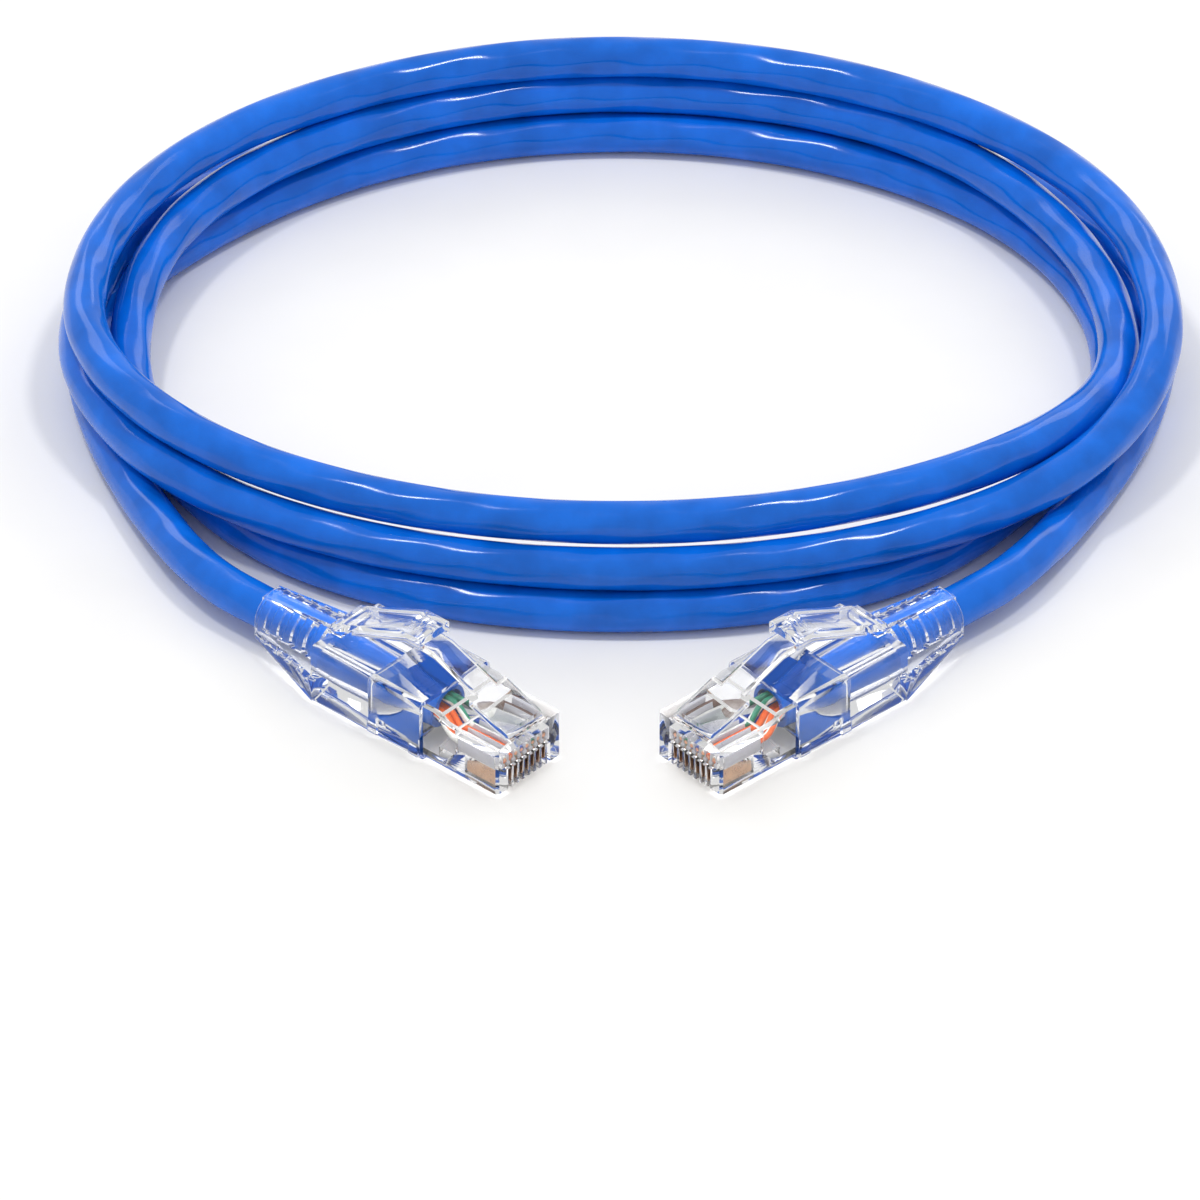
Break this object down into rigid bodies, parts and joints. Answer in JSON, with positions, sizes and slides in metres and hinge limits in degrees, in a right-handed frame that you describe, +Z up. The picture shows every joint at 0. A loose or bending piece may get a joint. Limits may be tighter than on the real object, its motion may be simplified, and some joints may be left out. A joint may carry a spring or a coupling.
{
  "type": "ethernet patch cable",
  "caption": "Ethernet patch cable laid in a flat oval coil, with a clear latching modular plug and a snagless boot on each end.",
  "frame": {"origin": "on the surface the cable lies on, midway between its two plug assemblies", "axes": "+Z up, +X across from one plug to the other, +Y from the plugs towards the coil"},
  "size_m": [0.1485, 0.1565, 0.0162],
  "materials": {
    "blue_jacket": "glossy royal-blue PVC jacket, slightly rippled by the twisted pairs",
    "clear_polycarbonate": "clear moulded polycarbonate",
    "clear_boot": "clear flexible moulded PVC",
    "guide_plastic": "frosted translucent moulding",
    "gold_contact": "gold-plated phosphor bronze",
    "copper_core": "bare stranded copper",
    "insulation_white_orange": "white polyethylene with an orange stripe",
    "insulation_orange": "orange polyethylene",
    "insulation_white_green": "white polyethylene with a green stripe",
    "insulation_blue": "blue polyethylene",
    "insulation_white_blue": "white polyethylene with a blue stripe",
    "insulation_green": "green polyethylene",
    "insulation_white_brown": "white polyethylene with a brown stripe",
    "insulation_brown": "brown polyethylene"
  },
  "bodies": {
    "cable": {"boot_left": "clear_boot", "boot_right": "clear_boot", "cable_coil": "blue_jacket", "cable_leg_left": "blue_jacket", "cable_leg_right": "blue_jacket", "contact_1_left": "gold_contact", "contact_1_right": "gold_contact", "contact_2_left": "gold_contact", "contact_2_right": "gold_contact", "contact_3_left": "gold_contact", "contact_3_right": "gold_contact", "contact_4_left": "gold_contact", "contact_4_right": "gold_contact", "contact_5_left": "gold_contact", "contact_5_right": "gold_contact", "contact_6_left": "gold_contact", "contact_6_right": "gold_contact", "contact_7_left": "gold_contact", "contact_7_right": "gold_contact", "contact_8_left": "gold_contact", "contact_8_right": "gold_contact", "jacket_end_left": "blue_jacket", "jacket_end_right": "blue_jacket", "plug_housing_left": "clear_polycarbonate", "plug_housing_right": "clear_polycarbonate", "strain_relief_bar_left": "clear_polycarbonate", "strain_relief_bar_right": "clear_polycarbonate", "wire_blue_left": "insulation_blue", "wire_blue_right": "insulation_blue", "wire_brown_left": "insulation_brown", "wire_brown_right": "insulation_brown", "wire_cores_left": "copper_core", "wire_cores_right": "copper_core", "wire_green_left": "insulation_green", "wire_green_right": "insulation_green", "wire_guide_left": "guide_plastic", "wire_guide_right": "guide_plastic", "wire_orange_left": "insulation_orange", "wire_orange_right": "insulation_orange", "wire_white_blue_left": "insulation_white_blue", "wire_white_blue_right": "insulation_white_blue", "wire_white_brown_left": "insulation_white_brown", "wire_white_brown_right": "insulation_white_brown", "wire_white_green_left": "insulation_white_green", "wire_white_green_right": "insulation_white_green", "wire_white_orange_left": "insulation_white_orange", "wire_white_orange_right": "insulation_white_orange"},
    "hood_left": {"hood_left": "clear_boot"},
    "latch_left": {"latch_left": "clear_polycarbonate"},
    "hood_right": {"hood_right": "clear_boot"},
    "latch_right": {"latch_right": "clear_polycarbonate"}
  },
  "joints": [
    {"name": "hood_press_left", "type": "hinge", "parent": "cable", "child": "hood_left", "pos_m": [-0.0326, 0.00658, 0.0098], "axis": [0.6678, 0.7443, 0], "range_deg": [0, 12], "stiffness_Nm_per_rad": 0.003},
    {"name": "latch_press_left", "type": "hinge", "parent": "cable", "child": "latch_left", "pos_m": [-0.01064, -0.01312, 0.00772], "axis": [-0.6678, -0.7443, 0], "range_deg": [0, 12]},
    {"name": "hood_press_right", "type": "hinge", "parent": "cable", "child": "hood_right", "pos_m": [0.0326, 0.00658, 0.0098], "axis": [0.6678, -0.7443, 0], "range_deg": [0, 12], "stiffness_Nm_per_rad": 0.003},
    {"name": "latch_press_right", "type": "hinge", "parent": "cable", "child": "latch_right", "pos_m": [0.01064, -0.01312, 0.00772], "axis": [-0.6678, 0.7443, 0], "range_deg": [0, 12]}
  ],
  "couplings": [
    {"joint": "latch_press_left", "follows": "hood_press_left", "ratio": 1},
    {"joint": "latch_press_right", "follows": "hood_press_right", "ratio": 1}
  ]
}
